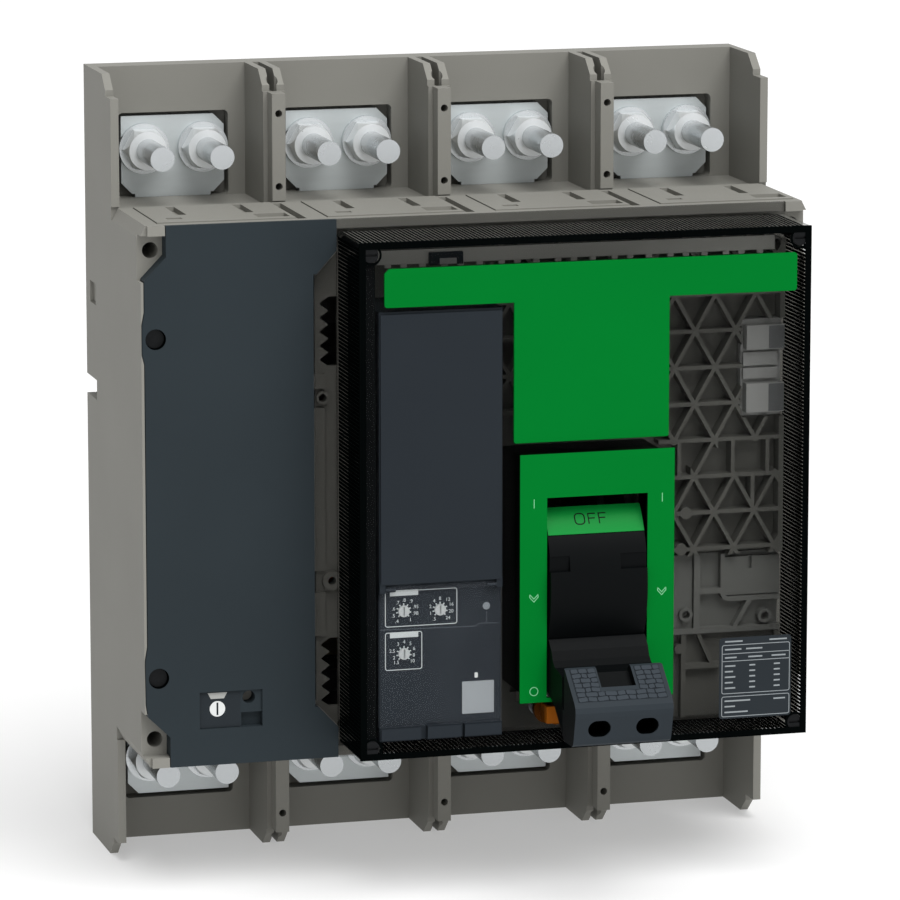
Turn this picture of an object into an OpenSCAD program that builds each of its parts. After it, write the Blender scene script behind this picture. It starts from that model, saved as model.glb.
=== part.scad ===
// Four-pole moulded case circuit breaker with a toggle and front connections.
// x runs to the right and z up. The front faces -y, and depths are counted from the back plane.
// The origin is the centre of the four mounting holes, on the back plane.

/* [Case] */
// Distance between the centres of neighbouring poles
pole_pitch = 70; // [69:0.5:74]
// Height over the terminal barriers
body_h = 327; // [322:1:340]
// Height of the main case at its front
case_h = 221; // [220:0.5:224]
// Depth of the case from the back plane to its front rim
case_depth = 107.5; // [106:0.5:110]
// Thickness of the outer walls of the case
wall = 3.3; // [2.8:0.1:3.8]
// Distance between the upper and lower mounting holes
mount_pitch_z = 200; // [198:0.5:202]
// Distance of the mounting holes from the sides of the case
mount_inset = 5.5; // [5:0.1:6]
// Diameter of the mounting holes
mount_hole_d = 6.5; // [5:0.1:7]
// Height of the rail groove across the back
rail_h = 8.3; // [7:0.1:10]
// Depth of the rail groove across the back
rail_depth = 19.7; // [16:0.1:21]

/* [Terminals] */
// Depth of the barriers between the terminals
barrier_depth = 53; // [51:0.5:56]
// Thickness of each wall of a barrier
barrier_wall = 3.1; // [2.6:0.1:3.6]
// Width of the slot between the two walls of a barrier
barrier_slot = 3; // [2.4:0.2:3.4]
// Diameter of the screw holes in the barrier strips
barrier_hole_d = 3; // [2.5:0.1:3.6]
// Width of the window round a terminal pad
bay_w = 46.6; // [45:0.1:48]
// Depth of the wall behind the terminals
bay_wall = 12; // [11:0.5:13]
// Width of a terminal pad
pad_w = 43.5; // [41:0.5:44.4]
// Thickness of the terminal bars
bar_t = 6; // [5:0.5:7]
// Width of the terminal bars inside the case
bar_w = 32; // [28:1:34]
// Distance between the two studs of a pad
stud_pitch = 25; // [24:0.5:26]
// Diameter of the studs
stud_d = 10; // [8:0.5:11]
// Height of the studs above and below the centre
stud_z = 129; // [127:0.5:131]
// Depth that the studs reach
stud_reach = 48; // [44:0.5:51]
// Width of the nuts across their flats
nut_af = 16; // [15:0.5:18]
// Diameter of the washers
washer_d = 21; // [19:0.5:21]

/* [Arc chambers] */
// Number of splitter plates in each arc chute
splitter_count = 9; // [6:1:11]
// Thickness of a splitter plate
splitter_t = 1.6; // [1:0.1:2.2]
// Thickness of the covers over the arc chambers
arc_cover_t = 3.4; // [2.8:0.1:4]

/* [Front cover] */
// Width of the raised part of the smoked cover
cover_w = 188.2; // [186:0.2:189]
// Height of the raised part of the smoked cover
cover_h = 209.7; // [208:0.1:210.4]
// Depth from the back plane to the front of the smoked cover
cover_depth = 142; // [140:0.5:145]
// Wall thickness of the smoked cover
cover_t = 2.2; // [1.8:0.1:2.6]
// Thickness of the green fascia
fascia_t = 1.1; // [0.8:0.1:1.6]
// Height of the band of the fascia
fascia_band_h = 15.5; // [14:0.5:17]
// Spacing of the ribs of the mechanism cover
grid_side = 17.4; // [16:0.2:20]
// Width of the ribs of the mechanism cover
grid_rib = 1.6; // [1.4:0.1:2.4]

/* [Toggle] */
// Distance of the toggle's middle from the middle of the case
toggle_x = 38.3; // [37.5:0.1:39]
// Height of the toggle's pivot
toggle_z = -37.5; // [-39:0.5:-36]
// Radius of the toggle's drum
drum_r = 47.5; // [46:0.5:48]
// Width of the toggle's drum and arm
drum_w = 40.6; // [39:0.2:41.4]
// Angle between the off and on positions
toggle_travel = 60; // [50:1:60]
// Diameter of the toggle's pin
toggle_pin_d = 8; // [7:0.5:9]
// How far the toggle's green frame stands in front of the smoked cover
bezel_proud = 4; // [3:0.5:5]

/* [Contacts] */
// Diameter of the pole shaft
shaft_d = 14; // [12:0.5:15]
// Depth of the pole shaft's axis
shaft_depth = 52; // [51:0.5:53]
// Height of the pole shaft's axis
shaft_z = 10; // [9:0.5:11]
// Length of a contact arm from the shaft to its end
arm_len = 64; // [60:0.5:66]
// Width of a contact arm
arm_w = 18; // [14:0.5:18]
// Angle that the contacts open
contact_travel = 30; // [25:1:30]

/* [Trip unit] */
// Width of the trip unit
trip_w = 51; // [48:0.5:51.5]
// Height of the trip unit
trip_h = 174.8; // [172:0.2:176]
// Height of the settings panel at its lower end
settings_h = 58.5; // [56:0.5:60]
// Diameter of the setting dials
dial_d = 4.6; // [4:0.1:5.4]
// Travel of the trip button
button_travel = 3; // [2:0.2:3.6]

/* [Hidden] */
$fn = 48;
poles = 4;
fit = 0.3;
run = 0.05;
pole_x = [for (i = [0 : poles - 1]) (i - (poles - 1) / 2) * pole_pitch];
half_w = poles * pole_pitch / 2;
half_h = body_h / 2;
case_z = case_h / 2;
edge_step = 5;
seam_z = case_z - edge_step;
lid_t = 2.4;
rim = case_depth - lid_t;
lid_depth = 7.5;
face = case_depth - lid_depth;
face_wall = 3.3;
shelf_back = barrier_depth + fit;
floor_t = 3.2;
pad_front = bay_wall - 1.5;
pad_back = pad_front - bar_t;
skin = pad_back - 0.2;
pad_low = stud_z - 19;
pad_high = stud_z + 13.5;
lower_pad_more = 2.6;
washer_t = 2.5;
nut_t = 8;
stud_core_r = stud_d / 2 - 0.5;
rail_z = 30;
strip_w = 5.6;
strip_top = half_h - 8.5;
chamber_w = pole_pitch - 9;
mount_x = half_w - mount_inset;
mount_z = mount_pitch_z / 2;
column_w = mount_inset + mount_hole_d / 2 + 3.6;
corner_w = 10.1;
arc_x = [-26.4, 30.5];
arc_d = [barrier_depth + 1.8, face];
box_x = [half_w - pole_pitch * 1.5 - cover_w / 2, half_w - pole_pitch * 1.5 + cover_w / 2];
box_z = [0.65 - cover_h / 2, 0.65 + cover_h / 2];
flange_x = [box_x[0] - 0.3, box_x[1] + 0.4];
trip_x = [-51.1, -51.1 + trip_w];
trip_z = [-97.2, -97.2 + trip_h];
settings_z = [trip_z[0] + 5.7, trip_z[0] + 5.7 + settings_h];
settings_face = cover_depth - 2.8;
flap_t = 1.4;
flap_mid = cover_depth - flap_t / 2;
flap_pin_r = 0.8;
flap_barrel_r = 1.7;
flap_pivot_z = settings_z[1] - flap_barrel_r - fit;
fascia_x = [-49.2, 122.8];
fascia_top = 95.1;
fascia_low = 22.5;
block_x = [4.2, 69];
bezel_front = cover_depth + bezel_proud;
bezel_x = [toggle_x - 32.4, toggle_x + 32.4];
bezel_z = [toggle_z - 46.2, toggle_z + 55.7];
window_x = [toggle_x - 21.1, toggle_x + 21.1];
window_z = [toggle_z - 44.4, toggle_z + 37.7];
mech_face = case_depth + 2;
grid_h = 6.5;
grid_top = mech_face + 2 + grid_h;
mech_x = [1.2, box_x[1] - cover_t - 0.5];
mech_z = [-33, box_z[1] - cover_t - 0.5];
mech_low = box_z[0] + cover_t + 0.5;
panel_x = 72.5;
panel_low = -66.4;
panel_front = grid_top - 3;
toggle_d = cover_depth - 40;
pin_r = toggle_pin_d / 2;
shaft_r = shaft_d / 2;
side_t = 2.5;
side_gap = 3.2;
side_x = [toggle_x - drum_w / 2 - side_gap - side_t, toggle_x + drum_w / 2 + side_gap];
pin_proud = 0.4;
mech_open = drum_w / 2 + side_gap + side_t + 0.6;
crank_x = [toggle_x - drum_w / 2 + 0.9, toggle_x + drum_w / 2 - 3.9];
link_x = [toggle_x - drum_w / 2 + 4.2, toggle_x + drum_w / 2 - 7.2];
link_t = 3;
crank_r = 26;
toggle_crank_r = 13;
link_dir = atan2(shaft_z - toggle_z, toggle_d - shaft_depth);
crank_angle = link_dir + 90 + contact_travel / 2;
toggle_crank_angle = link_dir + 90 + toggle_travel / 2;
crank_pin = [shaft_depth - crank_r * cos(crank_angle), shaft_z + crank_r * sin(crank_angle)];
toggle_crank = [toggle_d - toggle_crank_r * cos(toggle_crank_angle),
                toggle_z + toggle_crank_r * sin(toggle_crank_angle)];
link_pin_r = 2.5;
link_slack = 1.3;
arm_t = 8;
hub_r = 12;
open_angle = 24.9 - contact_travel;
contact_r = 4;
contact_at = arm_len - 6;
fixed_face = shaft_depth - contact_at * sin(24.9) - 3 * cos(24.9) - contact_r - fit;
chute_z = [78, seam_z - wall - fit];
chute_d = [34, face - face_wall - 3];
chute_w = 45;
sensor_d = [skin + fit, 38];
sensor_z = [-90, -62];
button_x = 24;
button_z = -92.5;
button_face_x = [button_x - 6.2, button_x + 6];
button_face_z = [button_z - 0.6, button_z + 6.4];
stem_r = 3;
tip_r = 1.3;
trip_bar_z = -76.5;
trip_bar_d = toggle_d - 20;
trip_bar_r = 3;
selector_x = pole_x[0] - 4.9;
selector_z = -87.5;
selector_r = 3.2;
connector_x = [108.5, mech_x[1] - 0.8];
connector_z = [24, 64];

// Shapes in the case's own directions

module slab(x, d, z) {
    translate([x[0], -d[1], z[0]]) cube([x[1] - x[0], d[1] - d[0], z[1] - z[0]]);
}

module plate(d) {
    translate([0, -d[0], 0]) rotate([90, 0, 0]) linear_extrude(d[1] - d[0]) children();
}

module profile(x) {
    translate([x[0], 0, 0]) rotate([90, 0, 90]) linear_extrude(x[1] - x[0]) children();
}

module bore(x, z, d, r) {
    translate([x, -d[0], z]) rotate([90, 0, 0]) cylinder(h = d[1] - d[0], r = r);
}

module rod(x, d, z, r) {
    translate([x[0], -d, z]) rotate([0, 90, 0]) cylinder(h = x[1] - x[0], r = r);
}

module round_rect(x, z, r) {
    translate([x[0] + r, z[0]]) square([x[1] - x[0] - 2 * r, z[1] - z[0]]);
    translate([x[0], z[0] + r]) square([x[1] - x[0], z[1] - z[0] - 2 * r]);
    for (u = [x[0] + r, x[1] - r], v = [z[0] + r, z[1] - r]) translate([u, v]) circle(r);
}

module outline(points) {
    polygon([for (p = points) [-p[0], p[1]]]);
}

module both_ends() {
    children();
    mirror([0, 0, 1]) children();
}

module at_pole(i) {
    translate([pole_x[i - 1], 0, 0]) children();
}

// Rear moulding: back plate, terminal bays and phase barriers

barrier_side = [[0, seam_z], [0, half_h], [36, half_h], [43, half_h - 6], [43, strip_top],
                [45, strip_top], [45, seam_z]];
outer_side = [[0, seam_z], [0, half_h], [36, half_h], [43, half_h - 6], [43, strip_top],
              [barrier_depth, strip_top], [barrier_depth, seam_z]];

module phase_barrier() {
    half = barrier_slot / 2;
    difference() {
        union() {
            for (s = [-half - barrier_wall, half]) profile([s, s + barrier_wall]) outline(barrier_side);
            slab([-strip_w / 2, strip_w / 2], [44, barrier_depth], [seam_z, strip_top]);
            slab([-half - barrier_wall, half + barrier_wall], [bay_wall, 45], [seam_z, case_z + 3]);
            slab([-half, half], [bay_wall, 45], [seam_z, strip_top - 1]);
        }
        translate([0, -41, seam_z + 8]) cylinder(h = half_h, r = 2.4);
        for (z = [146.8, 116.8]) bore(0, z, [40, barrier_depth + 1], barrier_hole_d / 2);
    }
}

module terminal_block(more = 0) {
    difference() {
        union() {
            slab([-half_w, half_w], [0, bay_wall], [seam_z, half_h]);
            slab([-half_w, half_w], [0, barrier_depth], [seam_z, seam_z + floor_t]);
            for (s = [-half_w, half_w - wall]) profile([s, s + wall]) outline(outer_side);
            for (i = [1 : poles - 1]) translate([(i - poles / 2) * pole_pitch, 0, 0]) phase_barrier();
        }
        for (i = [1 : poles]) at_pole(i) {
            plate([skin, bay_wall + 1])
                round_rect([-bay_w / 2, bay_w / 2], [seam_z + floor_t, pad_high + more + 1.5], 2);
            slab([-bar_w / 2 - 0.5, bar_w / 2 + 0.5], [skin, pad_front + 0.5], [seam_z - 1, pad_low + 5]);
        }
        slab([-half_w - 1, half_w + 1], [barrier_depth - 1.2, barrier_depth + 1], [seam_z - 1, case_z + 0.5]);
    }
}

module terminal_base() {
    inner = half_w - wall - fit;
    color("dimgray") difference() {
        union() {
            terminal_block();
            mirror([0, 0, 1]) terminal_block(lower_pad_more);
            slab([-inner, inner], [0, skin], [-seam_z, seam_z]);
            slab([-inner, inner], [0, rail_depth + 3], [rail_z - rail_h / 2 - 3, rail_z + rail_h / 2 + 3]);
        }
        slab([-half_w - 1, half_w + 1], [-1, rail_depth], [rail_z - rail_h / 2, rail_z + rail_h / 2]);
        for (s = [-1, 1]) both_ends()
            slab([s * mount_x - column_w, s * mount_x + column_w], [-1, skin + 1],
                 [mount_z - column_w, seam_z]);
    }
}

// Front moulding: four chambers, the arc chamber openings and the mounting columns

module case_body() {
    outline([[0, -seam_z], [0, seam_z], [shelf_back, seam_z], [shelf_back, case_z], [rim, case_z],
             [rim, -case_z], [shelf_back, -case_z], [shelf_back, -seam_z]]);
}

module chamber() {
    slab([-chamber_w / 2, chamber_w / 2], [-1, face - face_wall], [-seam_z + wall, seam_z - wall]);
    slab([-bar_w / 2 - 0.5, bar_w / 2 + 0.5], [-1, pad_front + 0.5], [-seam_z - 1, seam_z + 1]);
    slab([arc_x[0] + 4, arc_x[1] - 4], [arc_d[0] + 4, arc_d[1] - 4], [seam_z - wall - 1, case_z + 1]);
    slab([arc_x[0] - fit, arc_x[1] + fit], [arc_d[0] - fit, arc_d[1] + fit],
         [case_z - arc_cover_t, case_z + 1]);
}

module mount_column(s) {
    x = s * half_w;
    slab([min(x, x - s * column_w), max(x, x - s * column_w)], [0, face],
         [mount_z - column_w / 2 - 1, seam_z]);
}

module edge_bevel(s) {
    translate([s * half_w, -barrier_depth, case_z]) rotate([90, 0, 0])
        linear_extrude(face) polygon([[0, 1], [0, -edge_step], [-s * 2.6, 0], [-s * 2.6, 1]]);
}

module main_case() {
    rim_side = 1.2;
    color("gray") difference() {
        union() {
            difference() {
                union() {
                    profile([-half_w, half_w]) case_body();
                    slab([-half_w, -half_w + 4], [rim - 1, case_depth - 0.2], [-94, 94]);
                    both_ends() for (x = [-half_w + 3, half_w - corner_w])
                        slab([x, x + corner_w - 3], [rim - 1, case_depth - 0.2], [case_z - 4, case_z]);
                }
                plate([face, case_depth + 1]) neutral_outline(fit, case_z - 4);
                plate([rim, case_depth + 1]) neutral_outline(fit, case_z + 1);
                slab([-half_w + 70, half_w - rim_side], [face, case_depth + 1], [-case_z + 4, case_z - 4]);
                for (i = [1 : poles]) at_pole(i) chamber();
                slab([-half_w + wall, half_w - wall], [-1, skin], [-seam_z - 1, seam_z + 1]);
                slab([-half_w + wall, half_w - wall], [-1, rail_depth + 3 + fit],
                     [rail_z - rail_h / 2 - 3 - fit, rail_z + rail_h / 2 + 3 + fit]);
                both_ends() for (i = [1 : poles - 1]) translate([(i - poles / 2) * pole_pitch, 0, 0])
                    slab([-4, -0.3], [shelf_back + 3, face + 1], [case_z - 2.5, case_z + 1]);
                both_ends() for (s = [-1, 1]) {
                    edge_bevel(s);
                    x = s * (half_w - corner_w / 2);
                    slab([x - corner_w / 2, x + corner_w / 2], [face, case_depth + 1], [88, case_z - 4]);
                }
            }
            both_ends() for (s = [-1, 1]) mount_column(s);
            for (b = column_bosses) bore(-half_w + b[0], b[1], [face - 1, face + 2], b[2]);
            for (z = [[-34, 33], [41, 47], [-61, -43]])
                slab([-half_w + 71.4, -half_w + 76.6], [face - 1, face + 1.6], z);
        }
        for (s = [-1, 1]) {
            both_ends() bore(s * mount_x, mount_z, [-1, face + 1], mount_hole_d / 2);
            slab([s * half_w - 1.5, s * half_w + 1.5], [8, 19.3], [65.5, 74.5]);
        }
        slab([-half_w - 1, half_w + 1], [-1, rail_depth], [rail_z - rail_h / 2, rail_z + rail_h / 2]);
        rod([-half_w + wall + 2, half_w - wall - 2], shaft_depth, shaft_z, shaft_r + run);
        rod([-half_w + wall + 2, half_w - wall - 2], trip_bar_d, trip_bar_z, trip_bar_r + run);
        slab([toggle_x - mech_open, toggle_x + mech_open], [face - face_wall - 1, face + 1],
             [toggle_z - drum_r - 1.5, toggle_z + drum_r + 1.5]);
        bore(button_x, button_z, [face - face_wall - 1, face + 1], stem_r + 0.4);
        for (p = neutral_screws) bore(p[0], p[1], [face - 8, face + 1], 2);
        for (p = cover_screw_spots) bore(p[0], p[1], [face - face_wall - 1, face + 1], cover_screw_r + 0.1);
        for (b = column_bosses) bore(-half_w + b[0], b[1], [face - 6, face + 3], 1.7);
        slab([-half_w + pole_pitch + 0.9, -half_w + pole_pitch + 2.9], [face - 9, face + 1], [-88, 88]);
        for (z = [[49.7, 78.2], [-90.9, -62.3]]) plate([face - face_wall - 1, face + 1]) vent(z);
    }
}

module vent(z) {
    teeth = 5;
    step = (z[1] - z[0]) / teeth;
    x = -half_w + 75.2;
    difference() {
        translate([x, z[0]]) square([7.4, z[1] - z[0]]);
        for (k = [0 : teeth]) translate([x, z[0] + k * step])
            polygon([[-1, -step / 2], [-1, step / 2], [0, step / 2 - 0.3], [3.4, 0], [0, 0.3 - step / 2]]);
    }
}

module arc_cover(i) {
    color("darkgray") at_pole(i) difference() {
        slab(arc_x, arc_d, [case_z - arc_cover_t + 0.1, case_z + 0.4]);
        for (x = [arc_x[0] + 12.4, arc_x[1] - 16.7]) {
            slab([x, x + 3.8], [arc_d[0] + 3, arc_d[0] + 26], [case_z - 1.6, case_z + 1]);
        }
        slab([arc_x[1] - 14.5, arc_x[1] - 1.5], [arc_d[1] - 14, arc_d[1] - 4], [case_z - 1, case_z + 1]);
        slab([arc_x[0] + 5.8, arc_x[0] + 12.2], [arc_d[1] - 12, arc_d[1] - 8], [case_z - 1, case_z + 1]);
    }
}

// Current path of one pole

module pad(high) {
    cut = 4.6;
    x = pad_w / 2;
    plate([pad_back, pad_front]) polygon([[-x, pad_low + cut], [-x, high], [x - cut, high],
        [x, high - cut], [x, pad_low + cut], [x - cut, pad_low], [-x + cut, pad_low]]);
}

module stud_holes() {
    for (s = [-0.5, 0.5]) bore(s * stud_pitch, stud_z, [0, bay_wall + 1], stud_core_r + 0.02);
}

module upper_terminal(i) {
    color("silver") at_pole(i) {
        difference() {
            pad(pad_high);
            stud_holes();
        }
        slab([-bar_w / 2, bar_w / 2], [pad_back, pad_front], [54, pad_low + 0.1]);
        slab([-arm_w / 2, arm_w / 2], [pad_front, fixed_face], [54, 72]);
    }
}

module lower_terminal(i) {
    color("silver") at_pole(i) {
        rotate([0, 180, 0]) difference() {
            pad(pad_high + lower_pad_more);
            stud_holes();
        }
        profile([-bar_w / 2, bar_w / 2]) outline([[pad_back, -pad_low - 0.1], [pad_back, -seam_z + wall + 6],
            [20, -seam_z + wall + 6], [20, -44], [20 + bar_t, -44], [20 + bar_t, -seam_z + wall],
            [pad_front, -seam_z + wall], [pad_front, -pad_low - 0.1]]);
    }
}

module current_sensor(i) {
    color("navajowhite") at_pole(i) difference() {
        slab([-27, 27], sensor_d, sensor_z);
        slab([-bar_w / 2 - 3, bar_w / 2 + 3], [17, 23 + bar_t], [sensor_z[0] - 1, sensor_z[1] + 1]);
    }
}

module flexible_link(i) {
    leaf = 0.8;
    bend = 14;
    start = 20 + bar_t;
    top = shaft_z - 24.4;
    color("peru") at_pole(i) for (k = [0 : 2]) {
        a = k * (leaf + 0.001);
        profile([-9, 9]) {
            translate([-start - a - leaf, -58]) square([leaf, 58 + top]);
            intersection() {
                translate([-start - 2.4 - bend, top]) difference() {
                    circle(bend + 2.4 - a);
                    circle(bend + 2.4 - a - leaf);
                }
                translate([-start - 2.4 - bend, top]) square(bend + 3);
            }
        }
    }
}

module arc_chute(i) {
    pitch = (chute_d[1] - chute_d[0] - 4) / (splitter_count - 1);
    color("darkslategray") at_pole(i) {
        for (x = [-chute_w / 2, chute_w / 2 - 1.5]) slab([x, x + 1.5], chute_d, chute_z);
        for (k = [0 : splitter_count - 1]) {
            d = chute_d[0] + 2 + k * pitch;
            plate([d - splitter_t / 2, d + splitter_t / 2]) polygon([[-chute_w / 2 + 1, chute_z[0]],
                [-6, chute_z[0]], [-2, chute_z[0] + 11], [2, chute_z[0] + 11], [6, chute_z[0]],
                [chute_w / 2 - 1, chute_z[0]], [chute_w / 2 - 1, chute_z[1]], [-chute_w / 2 + 1, chute_z[1]]]);
        }
    }
}

module moving_contact(i) {
    color("goldenrod") at_pole(i) difference() {
        translate([0, -shaft_depth, shaft_z]) rotate([-open_angle, 0, 0]) {
            rotate([0, 90, 0]) cylinder(h = arm_w, r = hub_r, center = true);
            translate([-arm_w / 2, -arm_t / 2, 0]) cube([arm_w, arm_t, arm_len]);
            translate([-arm_w / 2 + 1, 3, contact_at]) rotate([0, 90, 0])
                cylinder(h = arm_w - 2, r = contact_r);
        }
        rod([-arm_w, arm_w], shaft_depth, shaft_z, shaft_r + 0.02);
    }
}

module on_pads() {
    for (i = [1 : poles]) at_pole(i) both_ends()
        for (s = [-0.5, 0.5]) translate([s * stud_pitch, 0, stud_z]) children();
}

module terminal_studs() {
    free = pad_front + washer_t + nut_t + 0.1;
    color("gainsboro") on_pads() {
        bore(0, 0, [pad_back, free + 0.1], stud_core_r);
        bore(0, 0, [free, stud_reach], stud_d / 2);
    }
}

module terminal_washers() {
    color("lightgray") on_pads() difference() {
        bore(0, 0, [pad_front, pad_front + washer_t], washer_d / 2);
        bore(0, 0, [0, stud_reach], stud_d / 2 + 0.3);
    }
}

module terminal_nuts() {
    low = pad_front + washer_t;
    color("silver") on_pads() difference() {
        intersection() {
            translate([0, -low, 0]) rotate([90, 0, 0]) cylinder(h = nut_t, r = nut_af / sqrt(3), $fn = 6);
            translate([0, -low, 0]) rotate([90, 0, 0])
                cylinder(h = nut_t, r1 = nut_af * 0.62, r2 = nut_af * 0.5);
        }
        bore(0, 0, [0, stud_reach], stud_core_r + 0.02);
    }
}

// Neutral pole's cover at the left

neutral_screws = [for (z = [-73.4, 65]) [-half_w + 5.9, z]];
column_bosses = [[79.3, -38.3, 3.9], [75.7, 37.2, 2.6]];

function neutral_left(g) = [[corner_w + fit - g, -98 + g], [1.4 - g, -89.3 + g], [0.6 - g, -84],
    [0.4 - g, -66], [1.4 - g, -60], [1.4 - g, 55], [0.4 - g, 59], [0.4 - g, 71], [1.4 - g, 76],
    [1.4 - g, 88.7 - g], [corner_w + fit - g, 98 - g]];

module neutral_outline(g = 0, top = case_z) {
    left = -pole_pitch / 2;
    right = pole_pitch / 2;
    wide = box_x[0] - 0.6 - pole_x[0];
    translate([pole_x[0], 0]) polygon(concat([[left + corner_w + fit - g, -top]],
        [for (p = neutral_left(g)) [left + p[0], p[1]]],
        [[left + corner_w + fit - g, top], [wide, top], [wide, 98], [right + 2, 88.7], [right + 0.7, 88.7],
         [right + 0.7, -89], [right + 2, -89], [wide, -98], [wide, -top]]));
}

module neutral_cover() {
    window = [pole_x[0] - 12.4, pole_x[0] + 13.6];
    window_low = -95.5;
    color("darkslategray") difference() {
        union() {
            plate([rim + 0.1, case_depth]) neutral_outline();
            plate([face + 0.1, rim + 0.1]) intersection() {
                neutral_outline();
                translate([-half_w, -case_z + 4.4]) square([pole_pitch + 8, case_h - 8.8]);
            }
        }
        for (p = neutral_screws) bore(p[0], p[1], [face + 3, case_depth + 1], 4.2);
        for (p = neutral_screws) bore(p[0], p[1], [face, case_depth + 1], 2.2);
        slab(window, [case_depth - 1.2, case_depth + 1], [window_low, -80.2]);
        slab([window[0] + 17.4, window[1]], [case_depth - 4, case_depth + 1], [window_low, -89.6]);
        bore(window[0] + 20.6, -83.4, [face, case_depth + 1], 2.6);
        bore(selector_x, selector_z, [face + 3, case_depth + 1], selector_r + run);
    }
}

module neutral_selector() {
    color("white") difference() {
        bore(selector_x, selector_z, [face + 3.2, case_depth - 0.9], selector_r);
        slab([selector_x - 0.4, selector_x + 0.4], [case_depth - 1.9, case_depth],
             [selector_z - 2.6, selector_z + 2.6]);
    }
}

// Mechanism cover with its triangular ribs, and the panels beside it

grid_row = grid_side * sqrt(3) / 2;
grid_node_r = grid_rib * 0.93;
grid_origin = [88, 60.3];

module grid_lines(angle, count) {
    translate(grid_origin) rotate(angle) for (k = [-count : count])
        translate([-250, k * grid_row - grid_rib / 2]) square([500, grid_rib]);
}

module lattice() {
    low = grid_origin[1] - 4 * grid_row;
    mid = grid_origin[0] + grid_side / 2;
    grid_lines(0, 9);
    difference() {
        for (a = [60, 120]) grid_lines(a, 9);
        translate([bezel_x[1], low]) square([grid_origin[0] - bezel_x[1] - 1.4, grid_row]);
        translate([mid + 1.4, low]) square([60, grid_row]);
    }
    for (x = [-6.4, 16.6, 31.5])
        translate([grid_origin[0] + x - grid_rib / 2, low]) square([grid_rib, grid_row]);
    translate([grid_origin[0] + 24.4, low - grid_row]) square([grid_rib, grid_row]);
    for (j = [-3 : 6], i = [-1 : 2])
        translate(grid_origin + [(i + (j % 2 == 0 ? 0 : 0.5)) * grid_side, -j * grid_row]) circle(grid_node_r);
    for (j = [5, 6])
        translate([grid_origin[0] - 3.2 - 2.1 * (j - 5), grid_origin[1] - j * grid_row]) circle(2.5);
}

module lower_ribs() {
    u = panel_x + 11.5;
    z = panel_low - fit;
    translate([u, mech_low]) square([2, z - mech_low]);
    translate([u, z - 14.5]) square([17, 2.3]);
    translate([u + 7.5, z]) rotate(-65) translate([-1, -0.8]) square([15, 1.6]);
    translate([u - 0.8, z - 5.8]) circle(2);
    translate([mech_x[1] - 2, mech_low]) square([2, z - mech_low]);
}

module rib_region() {
    translate([mech_x[0], mech_z[0]]) square([mech_x[1] - mech_x[0], mech_z[1] - mech_z[0]]);
}

module mechanism_outline() {
    difference() {
        union() {
            rib_region();
            translate([mech_x[0], mech_low]) square([panel_x - fit - mech_x[0], mech_z[1] - mech_low]);
            translate([mech_x[0], mech_low]) square([mech_x[1] - mech_x[0], panel_low - fit - mech_low]);
            translate([box_x[0] + cover_t + 0.5, trip_z[1] + 1.2])
                square([80, mech_z[1] - trip_z[1] - 1.2]);
        }
        translate([toggle_x - mech_open, toggle_z - drum_r - 2])
            square([2 * mech_open, 2 * drum_r + 4]);
        translate([connector_x[0] - fit, connector_z[0] - fit])
            square([60, connector_z[1] - connector_z[0] + 2 * fit]);
        translate([button_x, button_z]) circle(stem_r + 0.6);
        for (p = cover_screw_spots) translate(p) circle(cover_post_r + fit);
    }
}

module mechanism_cover() {
    color("#3c3c38") difference() {
        mechanism_shell();
        for (p = cover_screw_spots) bore(p[0], p[1], [face, cover_depth], cover_post_r + fit);
    }
}

module mechanism_shell() {
    union() {
        plate([mech_face, mech_face + 2]) mechanism_outline();
        plate([mech_face + 2, grid_top]) intersection() {
            difference() {
                rib_region();
                translate([bezel_x[0] - 2, mech_z[0] - 1]) square([bezel_x[1] - bezel_x[0] + 4,
                                                                   bezel_z[1] + 4 - mech_z[0]]);
                translate([connector_x[0] - fit, connector_z[0] - fit])
                    square([60, connector_z[1] - connector_z[0] + 2 * fit]);
            }
            lattice();
        }
        plate([mech_face + 2, grid_top - 3]) intersection() {
            translate([panel_x, mech_low]) square([mech_x[1] - panel_x, panel_low - fit - mech_low]);
            lower_ribs();
        }
        plate([mech_face + 2, grid_top]) difference() {
            translate([mech_x[1] - 2, mech_z[0]]) square([2, mech_z[1] - mech_z[0]]);
            translate([connector_x[0] - fit, connector_z[0] - fit])
                square([60, connector_z[1] - connector_z[0] + 2 * fit]);
        }
        slab([mech_x[0], mech_x[0] + 2], [face + 0.1, mech_face], [mech_low, mech_z[1]]);
        slab([mech_x[0], mech_x[1]], [face + 0.1, mech_face], [mech_z[1] - 2, mech_z[1]]);
        slab([mech_x[0], mech_x[1]], [face + 0.1, mech_face], [mech_low, mech_low + 2]);
        slab([mech_x[1] - 2, mech_x[1]], [face + 0.1, mech_face], [mech_z[0], connector_z[0] - fit]);
        slab([mech_x[1] - 2, mech_x[1]], [face + 0.1, mech_face], [connector_z[1] + fit, mech_z[1]]);
    }
}

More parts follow.
